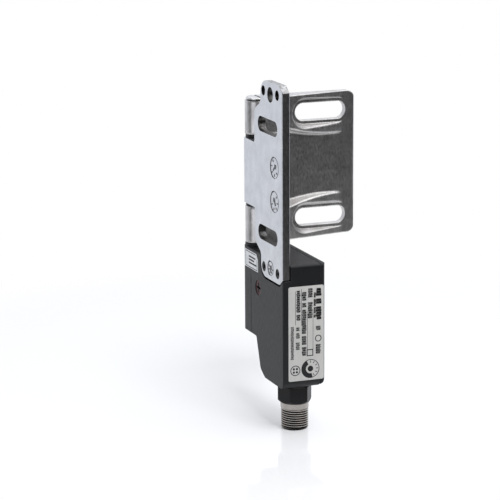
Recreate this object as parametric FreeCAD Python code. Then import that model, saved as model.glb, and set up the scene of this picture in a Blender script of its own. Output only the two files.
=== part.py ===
import FreeCAD, Part
import math
import os

# Safety hinge switch: two cast leaves turn on one pin, and the pin drives a cam in the switch housing
# that hangs under the fixed leaf. Millimetres. The model is drawn about the hinge axis (X along the fixed
# leaf, Y from its mounting face to its front, Z up along the pin) and is written out with its origin at
# the middle of the fixed leaf's mounting face. The door leaf stands open at a right angle, along +Y.

V = FreeCAD.Vector

# Fits
running_fit = 0.05
moving_gap = 0.3
slack = 0.4

# Both leaves
leaf_t = 3.5
axis_to_mount = 6.0
leaf_edge_round = 0.45
slot_spacing = 47.0

# Door leaf, measured from the hinge axis
door_width = 46.5
door_top_z = 31.8
door_bottom_z = -32.0
door_corner_r = 3.4
door_knuckle_r = 5.6
knuckle_face_drop = 1.2
door_notch_y = 9.0
door_slot_margin = 4.1
door_slot_length = 24.0
door_slot_height = 7.8
pad_margin = 5.5
pad_root_z = 17.2
pad_waist_z = 13.6
pad_waist_y = 26.0
pad_tip_z = 14.4
pad_draft = 0.3
seat_border = 1.6

# Pin, bushes and what is on them
pin_r = 3.0
pin_drive_r = 2.0
pin_head_r = 5.2
pin_head_t = 0.9
pin_slot_w = 1.2
pin_slot_depth = 0.6
head_washer_t = 0.6
head_washer_r = 4.7
bush_wall = 1.0
bush_flange_t = 1.4
bush_length = 9.0
cam_r = 3.9
cam_flat_depth = 1.5
cam_margin = 3.6

# Fixed leaf, measured from the hinge axis; its ears reach past the door leaf and over the housing
fixed_width = 44.4
fixed_slot_margin = 5.6
fixed_slot_length = 22.8
fixed_slot_height = 6.6
fixed_knuckle_r = 6.0
fixed_knuckle_length = 28.6
fixed_wedge_end = 33.0
fixed_neck_x = 11.3
ear_overlap = 9.0
ear_width = 25.6
ear_neck_height = 14.0
ear_height = 9.8
ear_corner_r = 6.0
ear_chamfer_w = 4.0
ear_chamfer_h = 2.8
ear_hole_inset = 5.8
ear_hole_inner_inset = 3.8
ear_hole_inset_z = 4.5
ear_hole_r = 2.2
ear_hole_depth = 2.6
ear_middle_hole_r = 3.3
ear_middle_inset_z = 5.3
neck_round = 3.0
notch_round = 1.0
ear_shoulder_round = 2.4
ear_tip_round = 0.6
cast_mark_inset_x = 9.0
cast_mark_zs = (7.0, -7.6)
cast_mark_r = 4.7
cast_mark_line = 0.45
cast_mark_depth = 0.25

# Switch housing
housing_wall = 1.6
housing_height = 54.0
housing_step_drop = 37.7
housing_thickness = 19.4
housing_overhang = 0.6
housing_lower_x = 12.9
housing_taper_x = 17.9
housing_foot_x = 23.2
housing_foot_h = 2.8
housing_foot_r = 3.0
housing_corner_r = 1.2
housing_front_r = 0.8
housing_far_r = 1.6
housing_front_low_r = 3.0
housing_far_low_r = 4.4
housing_far_back_r = 3.0
least_round = 0.3
ear_gap = 0.7
collar_rise = 1.3
collar_r = 5.7
cover_t = 2.0
gasket_t = 0.4
gasket_inset = 0.35
cover_boss_r = 2.8
cover_boss_depth = 6.0
cover_boss_inset = 2.0
cover_boss_low_inset = 5.3
cover_screw_r = 1.2
cover_screw_head_r = 2.3
cover_screw_head_t = 1.3
seam_x = 6.5
seam_drop = 11.3
seam_w = 0.4
seam_depth = 0.3

# Ear screws
ear_screw_r = 1.3
ear_screw_length = 8.0
ear_boss_r = 3.0
head_sink = 0.3
socket_r = 1.0
socket_depth = 0.9

# Adjuster in the side wall, placed from the carrier's corner near the pin
adjuster_from_start = 7.3
adjuster_from_top = 3.9
adjuster_head_r = 3.3
adjuster_head_t = 2.7
adjuster_shank_r = 2.0
adjuster_shank_length = 12.5
adjuster_slot_w = 0.9
adjuster_slot_length = 4.6
adjuster_slot_depth = 0.9
adjuster_nut_gap = 0.35
adjuster_boss_wall = 1.0
adjuster_floor = 0.8
clip_t = 0.6
clip_r = 3.2

# Contact carrier and contacts
carrier_from_cam = 4.1
carrier_from_front = 7.0
carrier_side_gap = 1.0
carrier_cover_gap = 0.8
carrier_wall = 0.8
chamber_height = 7.6
chamber_rib = 1.2
chamber_from_start = 11.0
chamber_from_end = 6.4
chamber_back_wall = 1.0
plunger_r = 1.5
bridge_gap = 2.1
bridge_t = 1.0
bridge_half_width = 3.0
bridge_half_height = 1.1
spring_stub_r = 1.0
spring_stub_length = 3.0
spring_r = 1.75
spring_wire = 0.44
spring_turns = 4
strip_t = 0.6
strip_w = 1.6
strip_offset_y = 2.6
strip_tail_insets = (2.4, 5.4)
strip_tail_drop = 1.6
guide_rod_r = 1.2
guide_rod_inset = 2.4
guide_rod_socket = 0.8

# Connector
connector_inset_x = 11.4
neck_r = 7.0
neck_drop = 0.8
collar_seal_t = 0.5
hex_across = 13.2
hex_height = 7.4
hex_turn = -5.6
hex_chamfer_w = 1.3
hex_chamfer_h = 1.2
hex_corner_round = 0.5
sleeve_r = 5.95
sleeve_neck_r = 5.3
sleeve_ring_r = 6.15
sleeve_ring_h = 2.5
sleeve_length = 11.8
sleeve_wall = 1.2
sleeve_socket_depth = 9.5
sleeve_bore_r = 4.1
sleeve_flange_r = 6.8
sleeve_flange_t = 1.4
sleeve_chamfer = 0.6
insert_rise = 4.4
insert_face_t = 0.9
pin_circle_r = 3.5
contact_pin_r = 0.5
contact_pin_recess = 1.8
contact_pin_tail = 2.0
lead_r = 0.65

# Places that follow from the sizes above: the hinge
mount_y = -axis_to_mount
leaf_front_y = mount_y + leaf_t
fixed_slot_start = fixed_width - fixed_slot_margin - fixed_slot_length
slot_centre_x = fixed_slot_start + fixed_slot_length / 2
door_slot_start = door_width - door_slot_margin - door_slot_length
pad_end = door_width - pad_margin
slot_zs = (slot_spacing / 2, -slot_spacing / 2)
knuckle_z = fixed_knuckle_length / 2
door_knuckle_z = knuckle_z + bush_flange_t + moving_gap
bush_r = pin_r + running_fit + bush_wall
knuckle_face_z = door_top_z - knuckle_face_drop
pin_shoulder_z = knuckle_face_z + head_washer_t
collar_z = door_bottom_z - slack
housing_top_z = collar_z - collar_rise
fixed_end_z = -housing_top_z + ear_overlap
ear_hole_z = fixed_end_z - ear_hole_inset_z
ear_x = fixed_width - ear_width
ear_hole_xs = (ear_x + ear_hole_inner_inset, fixed_width - ear_hole_inset)
ear_middle_x = (ear_hole_xs[0] + ear_hole_xs[1]) / 2
ear_middle_z = fixed_end_z - ear_middle_inset_z

# The housing
housing_back_x = -axis_to_mount
housing_front_x = fixed_width + housing_overhang
housing_bottom_z = housing_top_z - housing_height
housing_step_z = housing_top_z - housing_step_drop
housing_back_y = mount_y
housing_far_y = housing_back_y + housing_thickness
cover_y = housing_far_y - cover_t
rim_y = cover_y - gasket_t
inner_y = housing_back_y + housing_wall
inner_front_x = housing_front_x - housing_wall
inner_top_z = housing_top_z - housing_wall
floor_z = housing_bottom_z + housing_wall
step_floor_z = housing_step_z + housing_wall
pin_end_z = step_floor_z - housing_wall / 2
pin_step_z = inner_top_z - bush_wall
ear_screw_tip_y = leaf_front_y + ear_screw_length - housing_wall
boss_far_x = inner_front_x - cover_boss_inset
boss_near_x = housing_back_x + housing_wall + cover_boss_inset
boss_top_z = inner_top_z - cover_boss_inset
cover_boss_places = (
    (boss_near_x, boss_top_z),
    (boss_far_x, boss_top_z),
    (boss_near_x, step_floor_z + cover_boss_inset),
    (boss_far_x, floor_z + cover_boss_low_inset),
)
cover_screw_tip_y = rim_y - cover_boss_depth + housing_wall

# The carrier, the adjuster and the contacts
carrier_start_x = cam_r + carrier_from_cam
carrier_end_x = inner_front_x - carrier_from_front
carrier_back_y = inner_y + carrier_side_gap
carrier_front_y = rim_y - carrier_cover_gap
carrier_top_z = -fixed_end_z - ear_gap - housing_wall - slack
carrier_bottom_z = step_floor_z + slack
adjuster_x = carrier_start_x + adjuster_from_start
adjuster_z = carrier_top_z - adjuster_from_top
adjuster_face_y = housing_back_y + head_sink
adjuster_head_y = adjuster_face_y + adjuster_head_t
adjuster_boss_y = adjuster_head_y + adjuster_floor
clip_y = adjuster_boss_y + running_fit
chamber_start_x = carrier_start_x + chamber_from_start
chamber_end_x = carrier_end_x - chamber_from_end
plunger_low_z = carrier_bottom_z + carrier_wall + chamber_height / 2
plunger_zs = (plunger_low_z + chamber_height + chamber_rib, plunger_low_z)
chamber_back_y = carrier_back_y + chamber_back_wall
plunger_y = chamber_back_y + moving_gap + bridge_half_width
bridge_x = chamber_start_x + strip_t + bridge_gap
strip_tail_xs = [carrier_end_x - inset for inset in strip_tail_insets]
strip_tail_end_z = carrier_bottom_z - strip_tail_drop
guide_rod_places = (
    (carrier_start_x + guide_rod_inset, (plunger_zs[0] + plunger_zs[1]) / 2),
    (carrier_end_x - guide_rod_inset, carrier_top_z - guide_rod_inset),
)

# The connector
connector_x = housing_front_x - connector_inset_x
connector_y = housing_back_y + housing_thickness / 2
neck_end_z = housing_bottom_z - neck_drop
hex_top_z = neck_end_z - collar_seal_t
hex_bottom_z = hex_top_z - hex_height
sleeve_bottom_z = hex_bottom_z - sleeve_length
sleeve_socket_r = sleeve_r - sleeve_wall
sleeve_socket_z = sleeve_bottom_z + sleeve_socket_depth
flange_top_z = floor_z + sleeve_flange_t
insert_face_z = sleeve_socket_z - insert_face_t
insert_top_z = housing_bottom_z + insert_rise
contact_pin_tip_z = sleeve_bottom_z + contact_pin_recess
contact_pin_top_z = insert_top_z + contact_pin_tail
contact_pin_places = [
    (
        connector_x + pin_circle_r * math.cos(math.radians(45 + 90 * turn)),
        connector_y + pin_circle_r * math.sin(math.radians(45 + 90 * turn)),
    )
    for turn in range(4)
]


def plan(u, v):
    """A point of a sketch seen from above."""
    return V(u, v, 0)


def side(u, v):
    """A point of a sketch seen along Y: u along X, v up."""
    return V(u, 0, v)


def edge_on(u, v):
    """A point of a sketch seen along X: u along Y, v up."""
    return V(0, u, v)


def outline(corners, place):
    """A closed wire through corners (u, v, radius), each rounded by an arc tangent to both its sides."""
    turns = []
    count = len(corners)
    for i in range(count):
        u, v, radius = corners[i]
        here = V(u, v, 0)
        before = V(*corners[i - 1][:2], 0) - here
        after = V(*corners[(i + 1) % count][:2], 0) - here
        before.normalize()
        after.normalize()
        if radius == 0:
            turns.append((here, None, here))
            continue
        half = before.getAngle(after) / 2
        reach = radius / math.tan(half)
        inward = before + after
        inward.normalize()
        middle = here + inward * (radius / math.sin(half) - radius)
        turns.append((here + before * reach, middle, here + after * reach))
    edges = []
    for i in range(count):
        first, middle, last = turns[i]
        if middle is not None:
            edges.append(Part.Arc(*[place(p.x, p.y) for p in (first, middle, last)]).toShape())
        following = turns[(i + 1) % count][0]
        if last.distanceToPoint(following) > 1e-6:
            edges.append(Part.makeLine(place(last.x, last.y), place(following.x, following.y)))
    return Part.Wire(edges)


def slab(corners, place, start, end):
    """A rounded outline pushed straight from start to end along the direction that its sketch looks in."""
    face = Part.Face(outline(corners, place))
    away = {plan: V(0, 0, 1), side: V(0, 1, 0), edge_on: V(1, 0, 0)}[place]
    face.translate(away * start)
    return face.extrude(away * (end - start))


def box(x0, x1, y0, y1, z0, z1):
    return Part.makeBox(x1 - x0, y1 - y0, z1 - z0, V(x0, y0, z0))


def post(x, y, radius, z0, z1):
    """An upright round post."""
    return Part.makeCylinder(radius, z1 - z0, V(x, y, z0))


def bar_y(x, z, radius, y0, y1):
    """A round bar along Y."""
    return Part.makeCylinder(radius, y1 - y0, V(x, y0, z), V(0, 1, 0))


def bar_x(y, z, radius, x0, x1):
    """A round bar along X."""
    return Part.makeCylinder(radius, x1 - x0, V(x0, y, z), V(1, 0, 0))


def ring(x, y, outer, inner, z0, z1):
    return post(x, y, outer, z0, z1).cut(post(x, y, inner, z0, z1))


def stadium(start, length, middle, height, grow):
    """Corners of a slot with full round ends, grown all round, along the sketch's first direction."""
    half = height / 2 + grow
    nearly_half = half * 0.9999
    return [
        (start - grow, middle - half, nearly_half),
        (start + length + grow, middle - half, nearly_half),
        (start + length + grow, middle + half, nearly_half),
        (start - grow, middle + half, nearly_half),
    ]


def swapped(u, v):
    """The door leaf's own sketch from above: u runs along it, away from the pin, and v to its front."""
    return V(v, u, 0)


def leaf_body(radius, foot_u, end, place, z0, z1):
    """A leaf from above: a round knuckle, a straight front down to its foot, then the given end."""
    foot = V(foot_u, leaf_front_y, 0)
    turn = math.atan2(foot.y, foot.x) + math.acos(radius / foot.Length)
    touch = (radius * math.cos(turn), radius * math.sin(turn), 0)
    corners = [(0, mount_y, 0)] + end + [(foot.x, foot.y, 0), touch, (0, 0, 0)]
    wire = outline(corners, place)
    wire.translate(V(0, 0, z0))
    body = Part.Face(wire).extrude(V(0, 0, z1 - z0))
    return body.fuse(post(0, 0, radius, z0, z1)).removeSplitter()


def fixed_leaf_corners(grow):
    """The fixed leaf's outline on its mounting face, grown by an all-round gap for the housing's recess."""
    lower = [
        (fixed_neck_x - grow, -knuckle_z, notch_round),
        (fixed_neck_x - grow, -fixed_end_z + ear_neck_height, neck_round),
        (ear_x - grow, -fixed_end_z + ear_height, ear_shoulder_round),
        (ear_x - grow, -fixed_end_z - grow, ear_corner_r + grow),
        (fixed_width - ear_chamfer_w + grow / 2, -fixed_end_z - grow, ear_tip_round),
        (fixed_width + grow, -fixed_end_z + ear_chamfer_h - grow / 2, ear_tip_round),
    ]
    upper = [(u, -v, r) for u, v, r in reversed(lower)]
    return [(0, knuckle_z, 0), (0, -knuckle_z, 0)] + lower + upper


def fixed_leaf():
    plate = slab(fixed_leaf_corners(0), side, mount_y, leaf_front_y)
    rim = [e for e in plate.Edges if e.BoundBox.YLength < 1e-6 and e.BoundBox.XMax > fixed_neck_x + 1e-6]
    plate = plate.makeFillet(leaf_edge_round, rim)
    for z in slot_zs:
        slot = stadium(fixed_slot_start, fixed_slot_length, z, fixed_slot_height, 0)
        plate = plate.cut(slab(slot, side, mount_y, leaf_front_y))
    plate = plate.cut(bar_y(ear_middle_x, ear_middle_z, ear_middle_hole_r, mount_y, leaf_front_y))
    end = [(fixed_wedge_end, mount_y, 0)]
    knuckle = leaf_body(fixed_knuckle_r, fixed_wedge_end, end, plan, -knuckle_z, knuckle_z)
    body = plate.fuse(knuckle).removeSplitter()
    for x in ear_hole_xs:
        for z in (ear_hole_z, -ear_hole_z):
            body = body.cut(bar_y(x, z, ear_hole_r, mount_y, mount_y + ear_hole_depth))
            body = body.cut(bar_y(x, z, ear_screw_r, mount_y, leaf_front_y))
    marks = [(fixed_width - cast_mark_inset_x, z, cast_mark_r) for z in cast_mark_zs]
    marks.append((ear_middle_x, -ear_middle_z, ear_middle_hole_r))
    groove_y = mount_y + cast_mark_depth
    for x, z, radius in marks:
        groove = bar_y(x, z, radius, mount_y, groove_y)
        body = body.cut(groove.cut(bar_y(x, z, radius - cast_mark_line, mount_y, groove_y)))
    return body.cut(post(0, 0, bush_r, -knuckle_z, knuckle_z)).removeSplitter()


def door_reach():
    """A level in front of everything on the door leaf, where the cuts into its front start."""
    return door_knuckle_r + moving_gap


def door_relief():
    """The space between the two pads, in front of the plate; its curved sides slope outwards."""
    wires = []
    for front in (leaf_front_y, door_reach()):
        lift = pad_draft * (front - leaf_front_y)
        upper, lower = [
            (
                V(front, door_notch_y - running_fit, sign * (pad_root_z + lift)),
                V(front, pad_waist_y, sign * (pad_waist_z + lift)),
                V(front, door_width, sign * (pad_tip_z + lift)),
            )
            for sign in (1, -1)
        ]
        sides = [
            Part.Arc(*upper).toShape(),
            Part.makeLine(upper[2], lower[2]),
            Part.Arc(*reversed(lower)).toShape(),
            Part.makeLine(lower[0], upper[0]),
        ]
        wires.append(Part.Wire(sides))
    return Part.makeLoft(wires, True, True)


def door_seat(z):
    """The sunk seat round a slot, down to the plate, with sides that slope outwards to the front."""
    wires = []
    for front in (leaf_front_y, door_reach()):
        border = seat_border + pad_draft * (front - leaf_front_y)
        wire = outline(stadium(door_slot_start, door_slot_length, z, door_slot_height, border), edge_on)
        wire.translate(V(front, 0, 0))
        wires.append(wire)
    return Part.makeLoft(wires, True, True)


def door_leaf():
    reach = door_reach()
    corners = [
        (-reach, door_bottom_z, 0),
        (door_width, door_bottom_z, door_corner_r),
        (door_width, door_top_z, door_corner_r),
        (-reach, door_top_z, 0),
    ]
    end = [(door_width, mount_y, leaf_edge_round), (door_width, leaf_front_y, leaf_edge_round)]
    body = leaf_body(door_knuckle_r, pad_end, end, swapped, door_bottom_z, door_top_z)
    body = body.common(slab(corners, edge_on, mount_y, reach))
    body = body.cut(box(mount_y, reach, -reach, door_notch_y, -door_knuckle_z, door_knuckle_z))
    body = body.cut(door_relief())
    for z in slot_zs:
        slot = stadium(door_slot_start, door_slot_length, z, door_slot_height, 0)
        body = body.cut(door_seat(z)).cut(slab(slot, edge_on, mount_y, leaf_front_y))
    body = body.cut(post(0, 0, reach, knuckle_face_z, door_top_z))
    return body.cut(post(0, 0, pin_r, door_bottom_z, door_top_z)).removeSplitter()


def hinge_pin():
    """Pin with a slotted head; below the housing's seal it steps down to the cam's seat."""
    top = pin_shoulder_z + pin_head_t
    head = post(0, 0, pin_head_r, pin_shoulder_z, top)
    rim = [e for e in head.Edges if e.BoundBox.ZMin > top - 1e-6]
    pin = head.makeChamfer(pin_head_t / 2, rim)
    pin = pin.fuse(post(0, 0, pin_r, pin_step_z, pin_shoulder_z))
    pin = pin.fuse(post(0, 0, pin_drive_r, pin_end_z, pin_step_z)).removeSplitter()
    half = pin_slot_w / 2
    return pin.cut(box(-pin_head_r, pin_head_r, -half, half, top - pin_slot_depth, top))


def head_washer():
    return ring(0, 0, head_washer_r, pin_r, knuckle_face_z, pin_shoulder_z)


def flange_bush(sign):
    """Plain bearing pressed into one end of the fixed knuckle, with its flange between the knuckles."""
    inner = pin_r + running_fit
    low, high = sorted((sign * knuckle_z, sign * (knuckle_z - bush_length)))
    flange_low, flange_high = sorted((sign * knuckle_z, sign * (knuckle_z + bush_flange_t)))
    tube = ring(0, 0, bush_r, inner, low, high)
    flange = ring(0, 0, door_knuckle_r - moving_gap, inner, flange_low, flange_high)
    return tube.fuse(flange).removeSplitter()


def switching_cam():
    """Cam sleeve on the pin's lower end: round lands, with flats where the plungers drop for a shut door."""
    cam = ring(0, 0, cam_r, pin_drive_r, plunger_zs[1] - cam_margin, plunger_zs[0] + cam_margin)
    half = plunger_r + moving_gap
    for z in plunger_zs:
        cam = cam.cut(box(-cam_r, cam_r, -cam_r, -cam_r + cam_flat_depth, z - half, z + half))
    return cam


def housing_side(inset):
    """The housing's outline seen along Y, drawn in from the outside by inset."""
    top = housing_top_z - inset
    bottom = housing_bottom_z + inset
    radius = max(housing_corner_r - inset, least_round)
    return [
        (housing_back_x + inset, top, radius),
        (housing_back_x + inset, housing_step_z + inset, radius),
        (housing_lower_x + inset, housing_step_z + inset, housing_corner_r),
        (housing_taper_x + inset, housing_bottom_z + housing_foot_h, housing_foot_r),
        (housing_foot_x, bottom, housing_foot_r),
        (housing_front_x - inset, bottom, housing_front_low_r - inset),
        (housing_front_x - inset, top, radius),
    ]


def housing_plan(inset):
    """The housing's outline seen from above: round about the pin, with softer corners elsewhere."""
    back_x, front_x = housing_back_x + inset, housing_front_x - inset
    back_y, far_y = housing_back_y + inset, housing_far_y - inset
    return [
        (back_x, back_y, axis_to_mount - inset),
        (front_x, back_y, max(housing_front_r - inset, least_round)),
        (front_x, far_y, max(housing_far_r - inset, least_round)),
        (back_x, far_y, max(housing_far_back_r - inset, least_round)),
    ]


def housing_end(inset):
    """The housing's outline seen along X: square, but for a well rounded far lower edge."""
    return [
        (housing_back_y + inset, housing_bottom_z + inset, 0),
        (housing_far_y - inset, housing_bottom_z + inset, housing_far_low_r - inset),
        (housing_far_y - inset, housing_top_z - inset, 0),
        (housing_back_y + inset, housing_top_z - inset, 0),
    ]


def housing_form(inset):
    """The closed form of the housing, where its outlines from the side, from above and from the end meet."""
    upright = slab(housing_plan(inset), plan, housing_bottom_z, housing_top_z)
    level = slab(housing_end(inset), edge_on, housing_back_x, housing_front_x)
    return slab(housing_side(inset), side, housing_back_y, housing_far_y).common(upright).common(level)


def ear_recess(grow, depth_y):
    """The space that the fixed leaf's lower ear takes out of the housing, with a gap all round."""
    space = slab(fixed_leaf_corners(grow), side, housing_back_y, depth_y)
    return space.common(box(0, housing_front_x, housing_back_y, depth_y, housing_bottom_z, housing_top_z))


def housing_cavity():
    inside = box(housing_back_x, housing_front_x, inner_y, rim_y, housing_bottom_z, housing_top_z)
    cavity = housing_form(housing_wall).common(inside)
    cavity = cavity.cut(ear_recess(ear_gap + housing_wall, leaf_front_y + housing_wall))
    for x, z in cover_boss_places:
        cavity = cavity.cut(bar_y(x, z, cover_boss_r, rim_y - cover_boss_depth, rim_y))
    cavity = cavity.fuse(post(connector_x, connector_y, sleeve_flange_r, floor_z, flange_top_z))
    for x in ear_hole_xs:
        cavity = cavity.cut(bar_y(x, -ear_hole_z, ear_boss_r, inner_y, leaf_front_y + ear_screw_length))
    boss_r = adjuster_head_r + adjuster_boss_wall
    cavity = cavity.cut(bar_y(adjuster_x, adjuster_z, boss_r, inner_y, adjuster_boss_y))
    socket_r_outer = pin_drive_r + running_fit + bush_wall
    return cavity.cut(post(0, 0, socket_r_outer, housing_step_z, pin_end_z + pin_drive_r))


def switch_housing():
    far = box(housing_back_x, housing_front_x, rim_y, housing_far_y, housing_bottom_z, housing_top_z)
    shell = housing_form(0).cut(far)
    shell = shell.fuse(post(0, 0, collar_r, inner_top_z, collar_z))
    shell = shell.fuse(post(connector_x, connector_y, neck_r, neck_end_z, floor_z))
    shell = shell.cut(housing_cavity()).cut(ear_recess(ear_gap, leaf_front_y))
    shell = shell.cut(post(0, 0, bush_r, inner_top_z, collar_z))
    shell = shell.cut(post(0, 0, pin_drive_r + running_fit, pin_end_z - moving_gap, pin_end_z + pin_drive_r))
    for x, z in cover_boss_places:
        shell = shell.cut(bar_y(x, z, cover_screw_r, cover_screw_tip_y, rim_y))
    for x in ear_hole_xs:
        shell = shell.cut(bar_y(x, -ear_hole_z, ear_screw_r, leaf_front_y, ear_screw_tip_y))
    head_r = adjuster_head_r + running_fit
    shank_r = adjuster_shank_r + running_fit
    shell = shell.cut(bar_y(adjuster_x, adjuster_z, head_r, housing_back_y, adjuster_head_y + running_fit))
    shell = shell.cut(bar_y(adjuster_x, adjuster_z, shank_r, adjuster_head_y, adjuster_boss_y))
    for x, z in guide_rod_places:
        shell = shell.cut(bar_y(x, z, guide_rod_r, inner_y - guide_rod_socket, inner_y))
    shell = shell.cut(post(connector_x, connector_y, sleeve_neck_r, neck_end_z, floor_z))
    seam_end_y = housing_back_y + seam_depth
    seam_top_z = housing_top_z - seam_drop
    seam = box(seam_x, seam_x + seam_w, housing_back_y, seam_end_y, housing_step_z, seam_top_z)
    return shell.cut(seam).removeSplitter()


def housing_cover():
    near = box(housing_back_x, housing_front_x, housing_back_y, cover_y, housing_bottom_z, housing_top_z)
    cover = housing_form(0).cut(near)
    for x, z in cover_boss_places:
        cover = cover.cut(bar_y(x, z, cover_screw_r, cover_y, housing_far_y))
        cover = cover.cut(bar_y(x, z, cover_screw_head_r, housing_far_y - cover_screw_head_t, housing_far_y))
    for x, z in guide_rod_places:
        cover = cover.cut(bar_y(x, z, guide_rod_r, cover_y, cover_y + guide_rod_socket))
    return cover


def cover_gasket():
    level = box(housing_back_x, housing_front_x, rim_y, cover_y, housing_bottom_z, housing_top_z)
    rim = housing_form(gasket_inset).common(level)
    gasket = rim.cut(housing_form(housing_wall))
    for x, z in cover_boss_places:
        gasket = gasket.fuse(bar_y(x, z, cover_boss_r, rim_y, cover_y).common(rim))
    gasket = gasket.removeSplitter()
    for x, z in cover_boss_places:
        gasket = gasket.cut(bar_y(x, z, cover_screw_r, rim_y, cover_y))
    return gasket


def socket_screw_y(x, z, head_r, face_y, head_y, shank_r, tip_y):
    """A screw along Y with a plain round head, and a six-sided socket in the head's face."""
    screw = bar_y(x, z, head_r, min(face_y, head_y), max(face_y, head_y))
    screw = screw.fuse(bar_y(x, z, shank_r, min(tip_y, head_y), max(tip_y, head_y))).removeSplitter()
    corners = [
        (x + socket_r * math.cos(math.radians(60 * k)), z + socket_r * math.sin(math.radians(60 * k)), 0)
        for k in range(6)
    ]
    inward = math.copysign(socket_depth, head_y - face_y)
    return screw.cut(slab(corners, side, face_y, face_y + inward))


def cover_screws():
    head_y = housing_far_y - cover_screw_head_t
    return [
        socket_screw_y(x, z, cover_screw_head_r, housing_far_y, head_y, cover_screw_r, cover_screw_tip_y)
        for x, z in cover_boss_places
    ]


def ear_screws():
    head_y = mount_y + ear_hole_depth
    return [
        socket_screw_y(x, -ear_hole_z, ear_hole_r, mount_y + head_sink, head_y, ear_screw_r, ear_screw_tip_y)
        for x in ear_hole_xs
    ]


def shaft_bush():
    return ring(0, 0, bush_r, pin_r + running_fit, housing_top_z, collar_z)


def shaft_seal():
    return ring(0, 0, bush_r, pin_r + running_fit, inner_top_z, housing_top_z)


def adjuster_screw():
    tip_y = adjuster_head_y + adjuster_shank_length
    screw = bar_y(adjuster_x, adjuster_z, adjuster_head_r, adjuster_face_y, adjuster_head_y)
    shank = bar_y(adjuster_x, adjuster_z, adjuster_shank_r, adjuster_head_y, tip_y)
    screw = screw.fuse(shank).removeSplitter()
    slot_end_y = adjuster_face_y + adjuster_slot_depth
    for size_x, size_z in ((adjuster_slot_length, adjuster_slot_w), (adjuster_slot_w, adjuster_slot_length)):
        x0, x1 = adjuster_x - size_x / 2, adjuster_x + size_x / 2
        z0, z1 = adjuster_z - size_z / 2, adjuster_z + size_z / 2
        screw = screw.cut(box(x0, x1, adjuster_face_y, slot_end_y, z0, z1))
    return screw


def adjuster_clip():
    """Retaining ring on the adjuster's shank, against the inside of its boss."""
    outer = bar_y(adjuster_x, adjuster_z, clip_r, clip_y, clip_y + clip_t)
    return outer.cut(bar_y(adjuster_x, adjuster_z, adjuster_shank_r, clip_y, clip_y + clip_t))


def contact_strip(z, y, tail_x):
    """A stamped strip: a contact face on the chamber's wall, a run along its floor and a tail to a lead."""
    floor = z - chamber_height / 2
    y0, y1 = y - strip_w / 2, y + strip_w / 2
    face = box(chamber_start_x, chamber_start_x + strip_t, y0, y1, floor, z + bridge_half_height)
    run = box(chamber_start_x, tail_x + strip_t, y0, y1, floor, floor + strip_t)
    tail = box(tail_x, tail_x + strip_t, y0, y1, strip_tail_end_z, floor + strip_t)
    return face.fuse(run).fuse(tail).removeSplitter()


def fixed_contacts():
    return [
        contact_strip(z, plunger_y + way * strip_offset_y, tail_x)
        for z, tail_x in zip(plunger_zs, strip_tail_xs)
        for way in (-1, 1)
    ]


def contact_carrier():
    """Block with a chamber for each contact; the adjuster turns in it and shifts it along the guide rods."""
    x0, x1, y0, y1 = carrier_start_x, carrier_end_x, carrier_back_y, carrier_front_y
    carrier = box(x0, x1, y0, y1, carrier_bottom_z, carrier_top_z)
    half = chamber_height / 2
    for z in plunger_zs:
        carrier = carrier.cut(box(chamber_start_x, chamber_end_x, chamber_back_y, y1, z - half, z + half))
        carrier = carrier.cut(bar_x(plunger_y, z, plunger_r + running_fit, x0, chamber_start_x))
    carrier = carrier.cut(bar_y(adjuster_x, adjuster_z, adjuster_shank_r + adjuster_nut_gap, y0, y1))
    hollow_r = adjuster_head_r + adjuster_boss_wall + moving_gap
    hollow_y = clip_y + clip_t + 2 * slack
    carrier = carrier.cut(bar_y(adjuster_x, adjuster_z, hollow_r, y0, hollow_y))
    for x, z in guide_rod_places:
        carrier = carrier.cut(bar_y(x, z, guide_rod_r + running_fit, y0, y1))
    for strip in fixed_contacts():
        carrier = carrier.cut(strip)
    return carrier


def guide_rods():
    start, end = inner_y - guide_rod_socket, cover_y + guide_rod_socket
    return [bar_y(x, z, guide_rod_r, start, end) for x, z in guide_rod_places]


def plunger(z):
    """Push rod from the cam to its contact bridge, with a stub that keeps the spring in line."""
    stub_end = bridge_x + bridge_t + spring_stub_length
    rod = bar_x(plunger_y, z, plunger_r, cam_r + moving_gap, bridge_x)
    return rod.fuse(bar_x(plunger_y, z, spring_stub_r, bridge_x, stub_end)).removeSplitter()


def contact_bridge(z):
    y0, y1 = plunger_y - bridge_half_width, plunger_y + bridge_half_width
    bar = box(bridge_x, bridge_x + bridge_t, y0, y1, z - bridge_half_height, z + bridge_half_height)
    return bar.cut(bar_x(plunger_y, z, spring_stub_r, bridge_x, bridge_x + bridge_t))


def plunger_spring(z):
    """Coil spring of square wire between the bridge and the end of its chamber."""
    half = spring_wire / 2
    start = bridge_x + bridge_t + half
    length = chamber_end_x - start - half
    path = Part.makeHelix(length / spring_turns, length, spring_r)
    corners = [V(spring_r + u * half, 0, v * half) for u, v in ((-1, -1), (1, -1), (1, 1), (-1, 1))]
    section = Part.makePolygon(corners + corners[:1])
    coil = Part.Wire(path).makePipeShell([section], True, True)
    coil.rotate(V(0, 0, 0), V(0, 1, 0), 90)
    coil.translate(V(start, plunger_y, z))
    return coil


def collar_seal():
    return ring(connector_x, connector_y, neck_r, sleeve_neck_r, hex_top_z, neck_end_z)


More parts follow.
